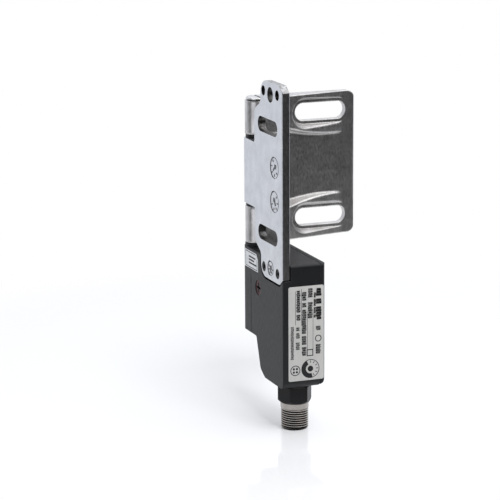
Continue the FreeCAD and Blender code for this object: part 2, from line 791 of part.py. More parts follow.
def collar_nut():
    """Hexagon on the threaded sleeve; its lower corners are turned off."""
    corner_r = hex_across / math.sqrt(3)
    corners = []
    for k in range(6):
        turn = math.radians(hex_turn + 30 + 60 * k)
        x, y = connector_x + corner_r * math.cos(turn), connector_y + corner_r * math.sin(turn)
        corners.append((x, y, hex_corner_round))
    nut = slab(corners, plan, hex_bottom_z, hex_top_z)
    nose_top_z = hex_bottom_z + hex_chamfer_h
    nose_r = corner_r - hex_chamfer_w
    nose = Part.makeCone(nose_r, corner_r, hex_chamfer_h, V(connector_x, connector_y, hex_bottom_z))
    turned = post(connector_x, connector_y, corner_r, nose_top_z, hex_top_z).fuse(nose).removeSplitter()
    return nut.common(turned).cut(post(connector_x, connector_y, sleeve_neck_r, hex_bottom_z, hex_top_z))


def connector_sleeve():
    """Sleeve with its thread drawn plain: flange and neck in the housing, a ring, a socket at the mouth."""
    ring_z = hex_bottom_z - sleeve_ring_h
    sleeve = post(connector_x, connector_y, sleeve_r, sleeve_bottom_z, ring_z)
    mouth = [e for e in sleeve.Edges if e.BoundBox.ZMax < sleeve_bottom_z + 1e-6]
    sleeve = sleeve.makeChamfer(sleeve_chamfer, mouth)
    sleeve = sleeve.fuse(post(connector_x, connector_y, sleeve_ring_r, ring_z, hex_bottom_z))
    sleeve = sleeve.fuse(post(connector_x, connector_y, sleeve_neck_r, hex_bottom_z, floor_z))
    flange = post(connector_x, connector_y, sleeve_flange_r, floor_z, flange_top_z)
    sleeve = sleeve.fuse(flange).removeSplitter()
    sleeve = sleeve.cut(post(connector_x, connector_y, sleeve_bore_r, sleeve_socket_z, flange_top_z))
    return sleeve.cut(post(connector_x, connector_y, sleeve_socket_r, sleeve_bottom_z, sleeve_socket_z))


def connector_insert():
    """Insulating insert that carries the pins: a plug in the sleeve's bore with a wider face below."""
    insert = post(connector_x, connector_y, sleeve_bore_r, sleeve_socket_z, insert_top_z)
    face = post(connector_x, connector_y, sleeve_socket_r - running_fit, insert_face_z, sleeve_socket_z)
    insert = insert.fuse(face).removeSplitter()
    for x, y in contact_pin_places:
        insert = insert.cut(post(x, y, contact_pin_r, insert_face_z, insert_top_z))
    return insert


def contact_pins():
    pins = []
    for x, y in contact_pin_places:
        pin = post(x, y, contact_pin_r, contact_pin_tip_z, contact_pin_top_z)
        tip = [e for e in pin.Edges if e.BoundBox.ZMax < contact_pin_tip_z + 1e-6]
        pins.append(pin.makeChamfer(contact_pin_r / 2, tip))
    return pins


def lead_wires():
    """Four leads, each with a sleeve on the tail of a pin, from there straight up to the end of a strip."""
    leads = []
    pins = {(x > connector_x, y > connector_y): (x, y) for x, y in contact_pin_places}
    for tail_x in strip_tail_xs:
        for way in (-1, 1):
            x, y = pins[(tail_x == max(strip_tail_xs), way > 0)]
            bottom = V(x, y, contact_pin_top_z + lead_r)
            top = V(tail_x + strip_t / 2, plunger_y + way * strip_offset_y, strip_tail_end_z - moving_gap)
            run = top - bottom
            lead = Part.makeCylinder(lead_r, run.Length, bottom, run).fuse(Part.makeSphere(lead_r, bottom))
            lead = lead.fuse(post(x, y, lead_r, insert_top_z, bottom.z)).removeSplitter()
            leads.append(lead.cut(post(x, y, contact_pin_r, insert_top_z, contact_pin_top_z)))
    return leads


nodes = {
    "fixed_leaf": fixed_leaf,
    "door_leaf": door_leaf,
    "hinge_pin": hinge_pin,
    "head_washer": head_washer,
    "upper_flange_bush": lambda: flange_bush(1),
    "lower_flange_bush": lambda: flange_bush(-1),
    "switching_cam": switching_cam,
    "switch_housing": switch_housing,
    "housing_cover": housing_cover,
    "cover_gasket": cover_gasket,
    "cover_screws": cover_screws,
    "ear_screws": ear_screws,
    "shaft_bush": shaft_bush,
    "shaft_seal": shaft_seal,
    "adjuster_screw": adjuster_screw,
    "adjuster_clip": adjuster_clip,
    "contact_carrier": contact_carrier,
    "fixed_contacts": fixed_contacts,
    "guide_rods": guide_rods,
    "plunger_a": lambda: plunger(plunger_zs[0]),
    "plunger_b": lambda: plunger(plunger_zs[1]),
    "contact_bridge_a": lambda: contact_bridge(plunger_zs[0]),
    "contact_bridge_b": lambda: contact_bridge(plunger_zs[1]),
    "plunger_spring_a": lambda: plunger_spring(plunger_zs[0]),
    "plunger_spring_b": lambda: plunger_spring(plunger_zs[1]),
    "collar_seal": collar_seal,
    "collar_nut": collar_nut,
    "connector_sleeve": connector_sleeve,
    "connector_insert": connector_insert,
    "contact_pins": contact_pins,
    "lead_wires": lead_wires,
}

os.makedirs("parts", exist_ok=True)
for name, make in nodes.items():
    made = make()
    shape = Part.Compound(made) if isinstance(made, list) else made
    shape.translate(V(-slot_centre_x, axis_to_mount, 0))
    shape.exportStep("parts/" + name + ".step")
    print(name, len(shape.Solids), round(shape.Volume, 2), shape.isValid())
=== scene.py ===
"""Looks of a safety hinge switch: cast leaves, black housing, plated connector, label, sticker."""

import math

import bpy
import numpy as np
from mathutils import Matrix, Vector


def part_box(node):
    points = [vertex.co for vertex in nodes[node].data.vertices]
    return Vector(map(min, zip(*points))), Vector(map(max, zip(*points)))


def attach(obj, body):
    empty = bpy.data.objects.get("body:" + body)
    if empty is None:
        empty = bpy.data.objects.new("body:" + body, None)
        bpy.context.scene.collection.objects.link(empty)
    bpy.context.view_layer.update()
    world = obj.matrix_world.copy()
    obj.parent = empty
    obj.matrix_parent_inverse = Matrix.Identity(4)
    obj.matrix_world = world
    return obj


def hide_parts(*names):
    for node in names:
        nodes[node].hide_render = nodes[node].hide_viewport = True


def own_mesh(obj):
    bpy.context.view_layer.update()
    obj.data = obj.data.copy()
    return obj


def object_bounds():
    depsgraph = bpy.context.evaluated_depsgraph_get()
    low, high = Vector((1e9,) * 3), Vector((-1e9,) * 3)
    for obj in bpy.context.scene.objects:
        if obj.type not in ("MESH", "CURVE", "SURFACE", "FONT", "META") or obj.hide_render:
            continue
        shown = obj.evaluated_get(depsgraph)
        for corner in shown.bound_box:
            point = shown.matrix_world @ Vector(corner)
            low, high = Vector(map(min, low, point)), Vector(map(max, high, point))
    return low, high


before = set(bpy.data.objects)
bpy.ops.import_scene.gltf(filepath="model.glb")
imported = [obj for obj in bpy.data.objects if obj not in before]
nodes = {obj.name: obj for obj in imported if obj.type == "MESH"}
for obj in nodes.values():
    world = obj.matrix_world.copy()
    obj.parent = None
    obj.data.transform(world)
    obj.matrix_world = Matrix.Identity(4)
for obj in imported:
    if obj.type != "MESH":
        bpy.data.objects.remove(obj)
cad_low, cad_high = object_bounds()

MM = 0.001
FLOOR_Z = cad_low[2]

# The hinge axis in the row frame, in mm. The places below are given in mm from this axis.
AXIS_X, AXIS_Y = -27.4, 6.0


def on_hinge(x, y, z):
    """A point given from the hinge axis in mm, as a point of the row frame in metres."""
    return np.stack(np.broadcast_arrays(x + AXIS_X, y + AXIS_Y, z), axis=-1) * MM


# Meshes

# A bar's faces by its corners: 0 to 3 go round its low end, 4 to 7 round its high end.
BAR_FACES = np.array([[0, 3, 2, 1], [4, 5, 6, 7], [0, 1, 5, 4],
                      [1, 2, 6, 5], [2, 3, 7, 6], [3, 0, 4, 7]])


def mesh_object(name, points, quads, caps=(), smooth=True):
    """An object at the origin, with a mesh of these points, four-sided faces and flat caps."""
    sides = np.array([4] * len(quads) + [len(cap) for cap in caps], dtype=np.int32)
    corners = np.concatenate([quads.ravel(), *caps]).astype(np.int32)
    mesh = bpy.data.meshes.new(name)
    mesh.vertices.add(len(points))
    mesh.vertices.foreach_set("co", np.ascontiguousarray(points, dtype=np.float32).ravel())
    mesh.loops.add(len(corners))
    mesh.loops.foreach_set("vertex_index", corners)
    mesh.polygons.add(len(sides))
    mesh.polygons.foreach_set("loop_start", np.cumsum(sides, dtype=np.int32) - sides)
    mesh.polygons.foreach_set("use_smooth", np.full(len(sides), smooth))
    mesh.update(calc_edges=True)
    mesh.validate()
    piece = bpy.data.objects.new(name, mesh)
    bpy.context.scene.collection.objects.link(piece)
    return piece


def sheet_object(name, points, wrap_rows=False, wrap_columns=False, cap_first=False,
                 cap_last=False):
    """A smooth mesh on a rows x columns array of points: each cell is a quad.

    A wrapped way joins its last line to its first, and a cap closes the first or the last row
    with one flat face.
    """
    rows, columns = points.shape[:2]
    index = np.arange(rows * columns).reshape(rows, columns)
    caps = [index[0, ::-1]] * cap_first + [index[-1]] * cap_last
    if wrap_rows:
        index = np.concatenate([index, index[:1]], axis=0)
    if wrap_columns:
        index = np.concatenate([index, index[:, :1]], axis=1)
    quads = np.stack([index[:-1, :-1], index[:-1, 1:], index[1:, 1:], index[1:, :-1]], axis=-1)
    return mesh_object(name, points.reshape(-1, 3), quads.reshape(-1, 4), caps)


def finish_piece(piece, body, slot, material, *replaced):
    """Puts a new piece on its body, with its material and the solids that it stands for. Its slot
    is not used.
    """
    piece.data.materials.append(material)
    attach(piece, body)
    if replaced:
        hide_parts(*replaced)


def bricks(centres, half_u, half_v, turn, low, high):
    """Thin flat bars as corner arrays: each a rectangle turned in its plane, between two levels.

    A corner is the centre plus the half sizes times plus or minus one, rotated by the turn.
    """
    count = len(centres)
    half_u, half_v, turn = (
        np.broadcast_to(value, count)[:, None] for value in (half_u, half_v, turn)
    )
    along = half_u * np.array([-1, 1, 1, -1])
    across = half_v * np.array([-1, -1, 1, 1])
    u = centres[:, :1] + along * np.cos(turn) - across * np.sin(turn)
    v = centres[:, 1:] + along * np.sin(turn) + across * np.cos(turn)
    ends = [np.stack([u, v, np.full(u.shape, level)], -1) for level in (low, high)]
    corners = np.concatenate(ends, axis=1)
    quads = np.arange(count)[:, None, None] * corners.shape[1] + BAR_FACES
    return corners.reshape(-1, 3), quads.reshape(-1, 4)


def band(centre, radius, half_width, low, high, start=0.0, end=360.0, steps=64):
    """A flat ring, or a part of one in degrees: a four-cornered section carried round a centre.

    A section corner is the radius plus or minus the half width, at one of two levels. An open
    band has flat ends.
    """
    whole = end - start >= 360.0
    angle = np.radians(np.linspace(start, end, steps, endpoint=not whole))[:, None]
    r = radius + half_width * np.array([-1, 1, 1, -1])
    u = centre[0] + r * np.cos(angle)
    v = centre[1] + r * np.sin(angle)
    level = np.broadcast_to([low, low, high, high], u.shape)
    corners = np.stack([u, v, level], axis=-1).reshape(-1, 3)
    index = np.arange(steps * 4).reshape(steps, 4)
    ends = np.empty((0, 4), dtype=int) if whole else np.stack([index[0], index[-1][::-1]])
    if whole:
        index = np.concatenate([index, index[:1]])
    side = np.roll(index, -1, axis=1)
    quads = np.stack([index[:-1], index[1:], side[1:], side[:-1]], axis=-1).reshape(-1, 4)
    return corners, np.concatenate([quads, ends])


def joined(parts):
    """Several corner and face arrays as one, with the face numbers moved on."""
    starts = np.cumsum([0] + [len(corners) for corners, _ in parts[:-1]])
    points = np.concatenate([corners for corners, _ in parts])
    quads = np.concatenate([quads + start for (_, quads), start in zip(parts, starts)])
    return points, quads


# Shader nodes and the groups that the finishes share


def link(tree, start, end):
    """Joins an output socket to an input socket."""
    tree.links.new(start, end)


def add_node(tree, kind, **settings):
    """A shader node with its settings; one that names an input gives that input's value."""
    node = tree.nodes.new(kind)
    for key, value in settings.items():
        if hasattr(node, key):
            setattr(node, key, value)
        else:
            node.inputs[key.replace("_", " ")].default_value = value
    return node


def smooth_step(tree, low, high, **settings):
    """A node that rises smoothly, from 0 to 1 if not told otherwise, as its value goes from low
    to high."""
    return add_node(tree, "ShaderNodeMapRange", interpolation_type="SMOOTHSTEP", From_Min=low,
                    From_Max=high, **settings)


def colour_mix(tree, first, second):
    """A node that goes from one colour to another with its factor."""
    mix = add_node(tree, "ShaderNodeMix", data_type="RGBA")
    mix.inputs["A"].default_value = (*first, 1)
    mix.inputs["B"].default_value = (*second, 1)
    return mix


def new_group(name, inputs, outputs):
    """An empty node group with named float inputs (with defaults) and outputs."""
    tree = bpy.data.node_groups.new(name, "ShaderNodeTree")
    for label, value in inputs:
        socket = tree.interface.new_socket(label, in_out="INPUT", socket_type="NodeSocketFloat")
        socket.default_value = value
    for label in outputs:
        tree.interface.new_socket(label, in_out="OUTPUT", socket_type="NodeSocketFloat")
    return tree, tree.nodes.new("NodeGroupInput"), tree.nodes.new("NodeGroupOutput")


def break_up(tree, inside, out, mask, **spread):
    """Multiplies a group's mask by spread-out noise on object coordinates, and puts it out."""
    place = add_node(tree, "ShaderNodeTexCoord")
    noise = add_node(tree, "ShaderNodeTexNoise", Detail=3.0)
    breakup = add_node(tree, "ShaderNodeMapRange", **spread)
    both = add_node(tree, "ShaderNodeMath", operation="MULTIPLY")
    link(tree, place.outputs["Object"], noise.inputs["Vector"])
    link(tree, inside.outputs["Breakup Scale"], noise.inputs["Scale"])
    link(tree, noise.outputs["Fac"], breakup.inputs["Value"])
    link(tree, mask, both.inputs[0])
    link(tree, breakup.outputs[0], both.inputs[1])
    link(tree, both.outputs[0], out.inputs["Mask"])


def make_grain_group():
    """Fine grain and broad mottling: noise on object coordinates, the grain drawn out along Z."""
    tree, inside, out = new_group(
        "fine_grain",
        [("Scale", 900.0), ("Stretch", 1.0), ("Mottle Scale", 60.0)],
        ["Grain", "Mottle"],
    )
    place = add_node(tree, "ShaderNodeTexCoord")
    split = add_node(tree, "ShaderNodeSeparateXYZ")
    squeeze = add_node(tree, "ShaderNodeMath", operation="DIVIDE")
    join = add_node(tree, "ShaderNodeCombineXYZ")
    grain = add_node(tree, "ShaderNodeTexNoise", Detail=3.0, Roughness=0.6)
    mottle = add_node(tree, "ShaderNodeTexNoise", Detail=4.0, Roughness=0.55)
    link(tree, place.outputs["Object"], split.inputs[0])
    link(tree, split.outputs["X"], join.inputs["X"])
    link(tree, split.outputs["Y"], join.inputs["Y"])
    link(tree, split.outputs["Z"], squeeze.inputs[0])
    link(tree, inside.outputs["Stretch"], squeeze.inputs[1])
    link(tree, squeeze.outputs[0], join.inputs["Z"])
    link(tree, join.outputs[0], grain.inputs["Vector"])
    link(tree, inside.outputs["Scale"], grain.inputs["Scale"])
    link(tree, place.outputs["Object"], mottle.inputs["Vector"])
    link(tree, inside.outputs["Mottle Scale"], mottle.inputs["Scale"])
    link(tree, grain.outputs["Fac"], out.inputs["Grain"])
    link(tree, mottle.outputs["Fac"], out.inputs["Mottle"])
    return tree


def make_edge_group():
    """Rubbed edges: how far a rounded copy's normal leans from the true one, broken by noise."""
    tree, inside, out = new_group(
        "rubbed_edges", [("Radius", 0.0004), ("Breakup Scale", 400.0)], ["Mask"]
    )
    bevel = add_node(tree, "ShaderNodeBevel", samples=6)
    true = add_node(tree, "ShaderNodeNewGeometry")
    dot = add_node(tree, "ShaderNodeVectorMath", operation="DOT_PRODUCT")
    lean = smooth_step(tree, 0.985, 0.86)
    link(tree, inside.outputs["Radius"], bevel.inputs["Radius"])
    link(tree, bevel.outputs["Normal"], dot.inputs[0])
    link(tree, true.outputs["Normal"], dot.inputs[1])
    link(tree, dot.outputs["Value"], lean.inputs["Value"])
    break_up(tree, inside, out, lean.outputs[0], From_Min=0.3, From_Max=0.62)
    return tree


def make_hollow_shade_group():
    """Painted shade in hollows: how closed in a place of the piece is within the reach, broken by
    noise.
    """
    tree, inside, out = new_group(
        "painted_hollow_shade", [("Reach", 0.002), ("Breakup Scale", 300.0)], ["Mask"]
    )
    shut = add_node(tree, "ShaderNodeAmbientOcclusion", samples=8, only_local=True)
    deep = smooth_step(tree, 0.8, 0.25)
    link(tree, inside.outputs["Reach"], shut.inputs["Distance"])
    link(tree, shut.outputs["AO"], deep.inputs["Value"])
    break_up(tree, inside, out, deep.outputs[0], From_Min=0.3, From_Max=0.6, To_Min=0.7)
    return tree


GRAIN = make_grain_group()
EDGES = make_edge_group()
HOLLOW_SHADE = make_hollow_shade_group()


# Finishes

# Stretches over which one look of a leaf fades into the next: from its knuckle to its plate and
# to its free edge, along X, and to the ends of its ears, above and below the middle.
PLATE_START = (6.5, 7.5)
FREE_EDGE = (42.0, 43.5)
EAR_END = (39.6, 41.0)

# The walls of the door leaf's pads: their reach from the middle, the radius of their shading, its
# share beyond the reach and the fade between.
PAD_REACH, PAD_WALL_R, PAST_PAD_SHARE, PAD_FADE = 17.0, 1.8, 0.4, 1.5

# The adjuster's axis, and the radius and fade of its sunk middle.
ADJUSTER_X, ADJUSTER_Z = 15.3, -49.3
SINK_R, SINK_FADE = 2.0, 0.2

GRAIN_RELIEF = 0.03 * MM


def new_material(name, metallic, specular):
    """A node material and its surface shader, which holds what is the same all over."""
    material = bpy.data.materials.new(name)
    material.use_nodes = True
    tree = material.node_tree
    shader = tree.nodes["Principled BSDF"]
    shader.inputs["Metallic"].default_value = metallic
    shader.inputs["Specular IOR Level"].default_value = specular
    return material, tree, shader


def overlay(material, factor, colour):
    """Lays one more colour over a finish, as far as the factor says; gives the mixing node."""
    tree = material.node_tree
    base = tree.nodes["Principled BSDF"].inputs["Base Color"]
    cover = add_node(tree, "ShaderNodeMix", data_type="RGBA")
    cover.inputs["B"].default_value = (*colour, 1)
    link(tree, factor, cover.inputs["Factor"])
    link(tree, base.links[0].from_socket, cover.inputs["A"])
    link(tree, cover.outputs["Result"], base)
    return cover


def finish(name, dark, light, rough, metallic=0.0, specular=0.5, worn=None, hollow_shade=None,
           grain_scale=900.0, stretch=1.0, mottle_scale=60.0, bump=0.1, edge_radius=0.0003,
           hollow_shade_reach=0.002):
    """A finish whose colour runs from dark to light with the mottling and the grain.

    Its roughness and bump follow the grain, its edges take the worn colour where they are
    rubbed, and its hollows take a colour of painted shade.
    """
    material, tree, shader = new_material(name, metallic, specular)
    grain = add_node(tree, "ShaderNodeGroup", node_tree=GRAIN)
    grain.inputs["Scale"].default_value = grain_scale
    grain.inputs["Stretch"].default_value = stretch
    grain.inputs["Mottle Scale"].default_value = mottle_scale
    colour = colour_mix(tree, dark, light)
    sum_of_both = add_node(tree, "ShaderNodeMath", operation="ADD")
    spread = add_node(tree, "ShaderNodeMapRange", From_Min=0.7, From_Max=1.3)
    link(tree, grain.outputs["Mottle"], sum_of_both.inputs[0])
    link(tree, grain.outputs["Grain"], sum_of_both.inputs[1])
    link(tree, sum_of_both.outputs[0], spread.inputs["Value"])
    link(tree, spread.outputs[0], colour.inputs["Factor"])
    link(tree, colour.outputs["Result"], shader.inputs["Base Color"])
    if worn is not None:
        edges = add_node(tree, "ShaderNodeGroup", node_tree=EDGES)
        edges.inputs["Radius"].default_value = edge_radius
        overlay(material, edges.outputs["Mask"], worn)
    if hollow_shade is not None:
        # Painted shade: hollows and corners darken by how closed in they are.
        shaded_hollows = add_node(tree, "ShaderNodeGroup", node_tree=HOLLOW_SHADE)
        shaded_hollows.inputs["Reach"].default_value = hollow_shade_reach
        overlay(material, shaded_hollows.outputs["Mask"], hollow_shade)
    roughness = add_node(tree, "ShaderNodeMapRange", From_Min=0.25, From_Max=0.75,
                         To_Min=rough[0], To_Max=rough[1])
    link(tree, grain.outputs["Grain"], roughness.inputs["Value"])
    link(tree, roughness.outputs[0], shader.inputs["Roughness"])
    soft = add_node(tree, "ShaderNodeBevel", samples=6)
    soft.inputs["Radius"].default_value = edge_radius
    relief = add_node(tree, "ShaderNodeBump", Strength=bump, Distance=GRAIN_RELIEF)
    link(tree, grain.outputs["Grain"], relief.inputs["Height"])
    link(tree, soft.outputs["Normal"], relief.inputs["Normal"])
    link(tree, relief.outputs["Normal"], shader.inputs["Normal"])
    return material


def dark_walls(material, hole_shade, edge_dark_reflection):
    """Paints shade onto the walls of a leaf's holes and, less, a dark reflection onto its outside
    edges.

    The painted darkening lies where the plate's normal lies in the plane of the leaf. It is patchy
    on the ends of the ears and dense elsewhere.
    """
    tree = material.node_tree
    place = add_node(tree, "ShaderNodeTexCoord")
    normal = add_node(tree, "ShaderNodeSeparateXYZ")
    point = add_node(tree, "ShaderNodeSeparateXYZ")
    lying = add_node(tree, "ShaderNodeMath", operation="ABSOLUTE")
    height = add_node(tree, "ShaderNodeMath", operation="ABSOLUTE")
    wall = smooth_step(tree, 0.75, 0.4)
    ahead, free_edge = (
        smooth_step(tree, (AXIS_X + start) * MM, (AXIS_X + end) * MM)
        for start, end in (PLATE_START, FREE_EDGE)
    )
    ends = smooth_step(tree, EAR_END[0] * MM, EAR_END[1] * MM)
    noise = add_node(tree, "ShaderNodeTexNoise", Scale=900.0, Detail=3.0)
    patchy = add_node(tree, "ShaderNodeMapRange", From_Min=0.43, From_Max=0.57, To_Min=0.55)
    dense = add_node(tree, "ShaderNodeMapRange", From_Min=0.35, From_Max=0.65, To_Min=0.84)
    depth = add_node(tree, "ShaderNodeMix", data_type="FLOAT")
    painted_wall_shade = add_node(tree, "ShaderNodeMath", operation="MULTIPLY")
    both = add_node(tree, "ShaderNodeMath", operation="MULTIPLY")
    outside = add_node(tree, "ShaderNodeMath", operation="MAXIMUM")
    shade = colour_mix(tree, hole_shade, edge_dark_reflection)
    link(tree, place.outputs["Normal"], normal.inputs[0])
    link(tree, normal.outputs["Y"], lying.inputs[0])
    link(tree, lying.outputs[0], wall.inputs["Value"])
    link(tree, place.outputs["Object"], point.inputs[0])
    link(tree, point.outputs["X"], ahead.inputs["Value"])
    link(tree, wall.outputs[0], painted_wall_shade.inputs[0])
    link(tree, ahead.outputs[0], painted_wall_shade.inputs[1])
    link(tree, place.outputs["Object"], noise.inputs["Vector"])
    link(tree, noise.outputs["Fac"], patchy.inputs["Value"])
    link(tree, noise.outputs["Fac"], dense.inputs["Value"])
    link(tree, point.outputs["Z"], height.inputs[0])
    link(tree, height.outputs[0], ends.inputs["Value"])
    link(tree, ends.outputs[0], depth.inputs["Factor"])
    link(tree, dense.outputs[0], depth.inputs["A"])
    link(tree, patchy.outputs[0], depth.inputs["B"])
    link(tree, painted_wall_shade.outputs[0], both.inputs[0])
    link(tree, depth.outputs["Result"], both.inputs[1])
    cover = overlay(material, both.outputs[0], edge_dark_reflection)
    link(tree, point.outputs["X"], free_edge.inputs["Value"])
    link(tree, free_edge.outputs[0], outside.inputs[0])
    link(tree, ends.outputs[0], outside.inputs[1])
    link(tree, outside.outputs[0], shade.inputs["Factor"])
    link(tree, shade.outputs["Result"], cover.inputs["B"])


def sunk_middle(material, x, z, radius, colour):
    """Darkens a screw's head inside a radius about its own axis, which lies along Y."""
    tree = material.node_tree
    place = add_node(tree, "ShaderNodeTexCoord")
    from_axis = add_node(tree, "ShaderNodeVectorMath", operation="SUBTRACT")
    from_axis.inputs[1].default_value = on_hinge(x, 0, z).tolist()
    flat = add_node(tree, "ShaderNodeVectorMath", operation="MULTIPLY")
    flat.inputs[1].default_value = (1, 0, 1)
    away = add_node(tree, "ShaderNodeVectorMath", operation="LENGTH")
    middle = smooth_step(tree, (radius + SINK_FADE) * MM, (radius - SINK_FADE) * MM)
    link(tree, place.outputs["Object"], from_axis.inputs[0])
    link(tree, from_axis.outputs[0], flat.inputs[0])
    link(tree, flat.outputs[0], away.inputs[0])
    link(tree, away.outputs["Value"], middle.inputs["Value"])
    overlay(material, middle.outputs[0], colour)


def soft_walls(material, reach, radius):
    """Rounds the shading of a leaf's edges to a radius within a reach above and below its middle,
    where the walls of its pads run, and to a share of that radius beyond a short fade."""
    tree = material.node_tree
    place = add_node(tree, "ShaderNodeTexCoord")
    point = add_node(tree, "ShaderNodeSeparateXYZ")
    height = add_node(tree, "ShaderNodeMath", operation="ABSOLUTE")
    size = smooth_step(tree, (reach + PAD_FADE) * MM, reach * MM,
                       To_Min=PAST_PAD_SHARE * radius * MM, To_Max=radius * MM)
    soft = next(node for node in tree.nodes if node.bl_idname == "ShaderNodeBevel")
    soft.samples = 12
    link(tree, place.outputs["Object"], point.inputs[0])
    link(tree, point.outputs["Z"], height.inputs[0])
    link(tree, height.outputs[0], size.inputs["Value"])
    link(tree, size.outputs[0], soft.inputs["Radius"])


def grooved(material, colour):
    """Paints shade down in a thread's grooves and inside its socket, and darkens its end, by the
    depth kept on the mesh.
    """
    depth = add_node(material.node_tree, "ShaderNodeAttribute", attribute_name="groove")
    overlay(material, depth.outputs["Fac"], colour)


cast_metal = finish(
    "cast_metal", (0.51, 0.52, 0.545), (0.69, 0.70, 0.725), (0.28, 0.44), metallic=1.0,
    worn=(0.85, 0.85, 0.86), hollow_shade=(0.03, 0.03, 0.032), grain_scale=1500.0, stretch=1.5,
    mottle_scale=160.0, bump=0.35, edge_radius=0.0002, hollow_shade_reach=0.0025)
# Painted shade in the fixed leaf's holes, and painted dark reflection on its free edge and ear
# ends.
dark_walls(cast_metal, (0.08, 0.076, 0.073), (0.23, 0.227, 0.225))
# The door leaf is cast like the fixed leaf: its darker colour is painted shade, added to the darker
# reflections its face gets.
shaded_door_metal = finish(
    "shaded_door_metal", (0.405, 0.395, 0.393), (0.66, 0.648, 0.642), (0.27, 0.42), metallic=1.0,
    worn=(0.66, 0.65, 0.64), hollow_shade=(0.05, 0.048, 0.046), grain_scale=1500.0, stretch=2.5,
    mottle_scale=160.0, bump=0.35, edge_radius=0.0004)
soft_walls(shaded_door_metal, PAD_REACH, PAD_WALL_R)
# The casting marks are darker than the leaf they are cast in: painted shade of their relief.
shaded_mark_metal = finish(
    "shaded_mark_metal", (0.08, 0.08, 0.082), (0.2, 0.2, 0.205), (0.35, 0.5), metallic=1.0,
    grain_scale=1500.0, bump=0.3, edge_radius=0.00008)
turned_steel = finish(
    "turned_steel", (0.52, 0.52, 0.52), (0.64, 0.64, 0.64), (0.18, 0.3), metallic=1.0,
    worn=(0.8, 0.8, 0.8), hollow_shade=(0.08, 0.08, 0.08), grain_scale=1200.0, stretch=0.08)
black_moulding = finish(
    "black_moulding", (0.0036, 0.0040, 0.0048), (0.0065, 0.007, 0.0085), (0.42, 0.58),
    specular=0.36, worn=(0.05, 0.053, 0.058), grain_scale=2200.0, stretch=6.0,
    mottle_scale=90.0, bump=0.3, edge_radius=0.0003)
black_bearing = finish(
    "black_bearing", (0.006, 0.006, 0.007), (0.012, 0.012, 0.013), (0.35, 0.5), specular=0.3,
    worn=(0.04, 0.04, 0.04), grain_scale=2000.0, bump=0.2)
black_hex = finish(
    "black_hex", (0.004, 0.004, 0.0045), (0.008, 0.008, 0.009), (0.3, 0.42), specular=0.22,
    worn=(0.05, 0.05, 0.053), grain_scale=2000.0, bump=0.2, edge_radius=0.0004)
seal_rubber = finish(
    "seal_rubber", (0.010, 0.010, 0.010), (0.02, 0.02, 0.02), (0.6, 0.8),
    grain_scale=1500.0, bump=0.3)
black_screw = finish(
    "black_screw", (0.006, 0.006, 0.0065), (0.016, 0.016, 0.017), (0.35, 0.55), metallic=0.4,
    worn=(0.12, 0.12, 0.12), hollow_shade=(0.002, 0.002, 0.002), grain_scale=1800.0, bump=0.2,
    edge_radius=0.00015)
red_adjuster = finish(
    "red_adjuster", (0.05, 0.011, 0.012), (0.085, 0.019, 0.018), (0.4, 0.55), specular=0.3,
    worn=(0.11, 0.035, 0.032), hollow_shade=(0.008, 0.003, 0.003), grain_scale=1800.0, bump=0.2,
    edge_radius=0.00015, hollow_shade_reach=0.001)
sunk_middle(red_adjuster, ADJUSTER_X, ADJUSTER_Z, SINK_R, (0.022, 0.008, 0.009))
inner_steel = finish(
    "inner_steel", (0.5, 0.5, 0.5), (0.62, 0.62, 0.62), (0.2, 0.35), metallic=1.0,
    grain_scale=1500.0)
contact_brass = finish(
    "contact_brass", (0.55, 0.38, 0.16), (0.7, 0.5, 0.24), (0.18, 0.3), metallic=1.0,
    worn=(0.85, 0.68, 0.4), grain_scale=1500.0, edge_radius=0.00015)
cream_moulding = finish(
    "cream_moulding", (0.6, 0.58, 0.52), (0.7, 0.68, 0.62), (0.4, 0.55),
    grain_scale=2000.0, bump=0.2)
lead_cover = finish(
    "lead_cover", (0.2, 0.1, 0.05), (0.28, 0.15, 0.08), (0.4, 0.5), grain_scale=1500.0)
plated_thread = finish(
    "plated_thread", (0.36, 0.338, 0.315), (0.46, 0.432, 0.40), (0.14, 0.26), metallic=1.0,
    grain_scale=900.0, stretch=0.06, mottle_scale=200.0, bump=0.5, edge_radius=0.0001)
# Painted shade in the thread's grooves and socket.
grooved(plated_thread, (0.012, 0.010, 0.009))
label_foil = finish(
    "label_foil", (0.40, 0.40, 0.385), (0.47, 0.47, 0.455), (0.35, 0.5), grain_scale=1600.0,
    stretch=8.0, mottle_scale=50.0, bump=0.06, edge_radius=0.0001)
label_ink = finish(
    "label_ink", (0.006, 0.006, 0.0065), (0.016, 0.016, 0.017), (0.45, 0.6), specular=0.3,
    grain_scale=2500.0, edge_radius=0.00002)
sticker_film = finish(
    "sticker_film", (0.72, 0.73, 0.74), (0.80, 0.81, 0.82), (0.3, 0.42), specular=0.3,
    grain_scale=1500.0, mottle_scale=80.0, bump=0.06, edge_radius=0.0001)

finish_of = {
    "fixed_leaf": cast_metal, "door_leaf": shaded_door_metal, "hinge_pin": turned_steel,
    "head_washer": black_bearing, "upper_flange_bush": black_bearing,
    "lower_flange_bush": black_bearing, "switching_cam": cream_moulding,
    "switch_housing": black_moulding, "housing_cover": black_moulding,
    "cover_gasket": seal_rubber, "cover_screws": black_screw, "ear_screws": black_screw,
    "shaft_bush": black_bearing, "shaft_seal": seal_rubber, "adjuster_screw": red_adjuster,
    "adjuster_clip": inner_steel, "contact_carrier": cream_moulding,
    "fixed_contacts": contact_brass, "guide_rods": inner_steel, "plunger_a": cream_moulding,
    "plunger_b": cream_moulding, "contact_bridge_a": contact_brass,
    "contact_bridge_b": contact_brass, "plunger_spring_a": inner_steel,
    "plunger_spring_b": inner_steel, "collar_seal": seal_rubber, "collar_nut": black_hex,
    "connector_sleeve": plated_thread, "connector_insert": black_bearing,
    "contact_pins": contact_brass, "lead_wires": lead_cover,
}
